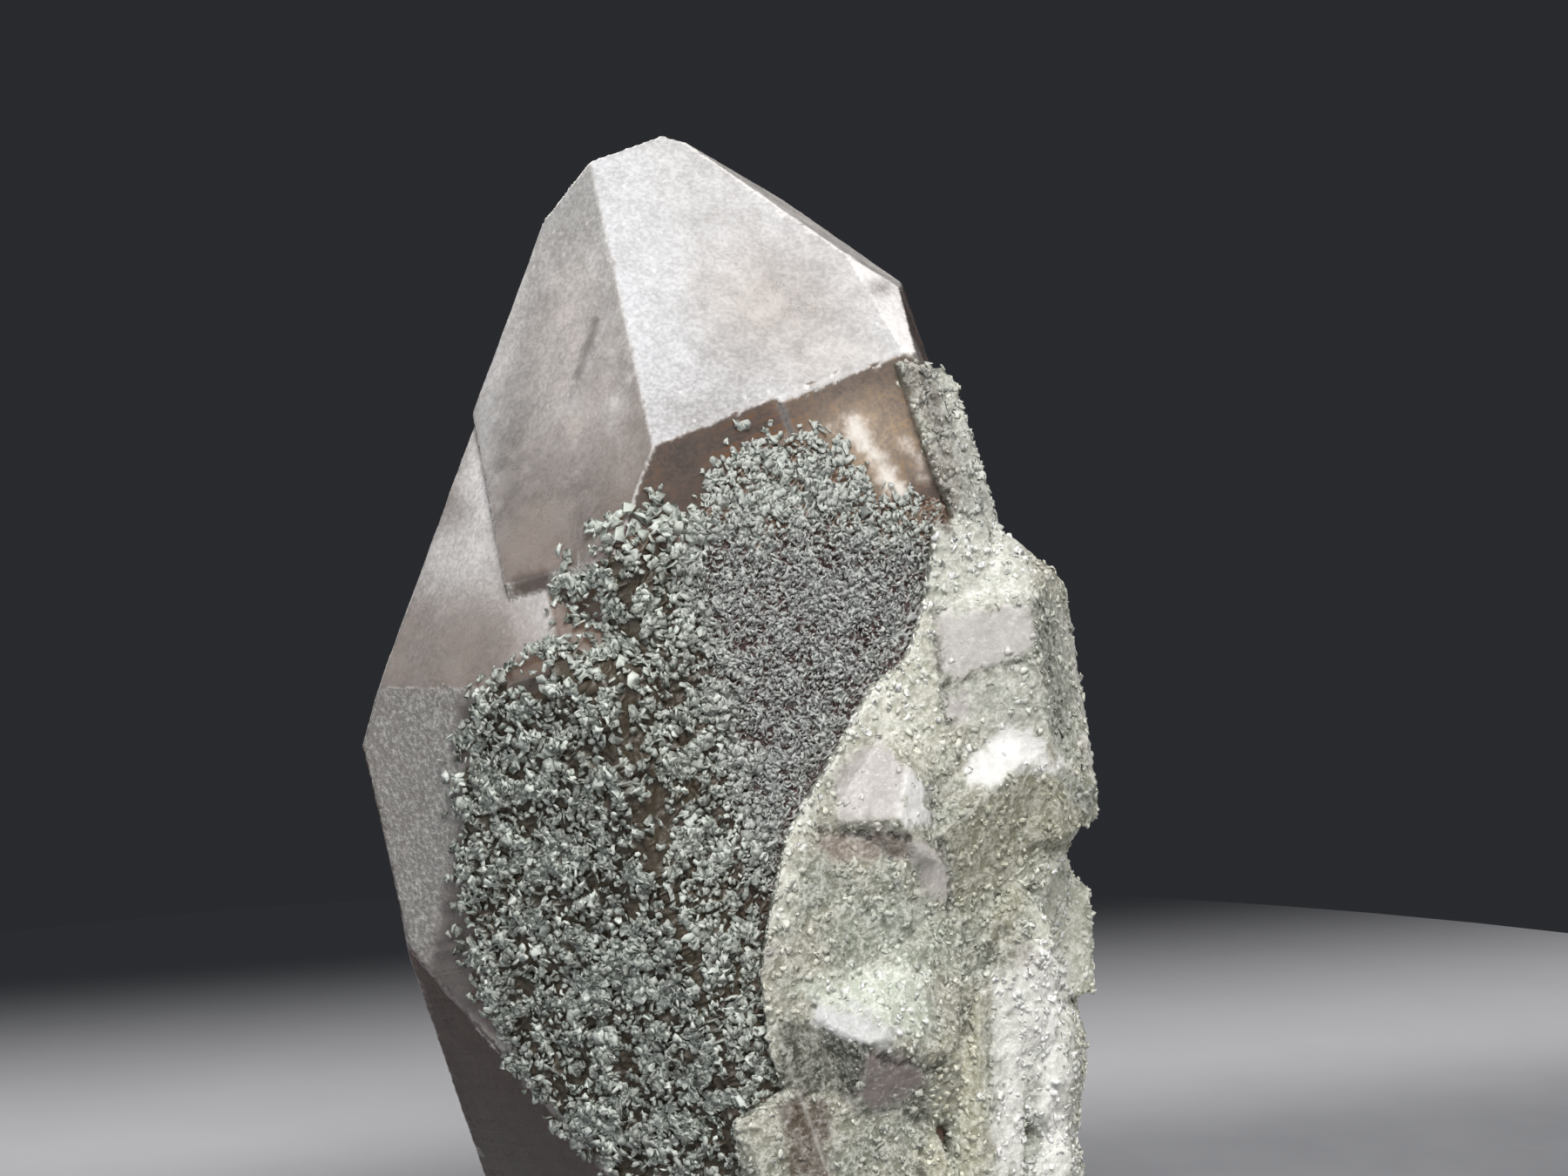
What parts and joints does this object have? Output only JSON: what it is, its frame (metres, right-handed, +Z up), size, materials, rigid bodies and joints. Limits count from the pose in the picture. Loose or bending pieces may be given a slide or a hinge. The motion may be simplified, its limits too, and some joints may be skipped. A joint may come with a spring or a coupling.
{
  "type": "smoky quartz crystal",
  "caption": "Leaning smoky quartz point with frosted and clear faces, a chlorite crust on its front and smaller dusted quartz crystals grown on its right flank.",
  "frame": {"origin": "middle of the specimen's width and depth, on the flat cut that it stands on", "axes": "+Z up along the specimen's height, +X to the right and +Y away from the viewer of its crusted front"},
  "size_m": [0.0276, 0.0196, 0.049],
  "materials": {
    "smoky_quartz": "polished and frosted crystal faces",
    "dusted_quartz": "granular",
    "chlorite": "flaky"
  },
  "bodies": {
    "root": {"smoky_quartz_crystal": "smoky_quartz", "side_crystals": "dusted_quartz", "chlorite_crust": "chlorite"}
  },
  "joints": []
}
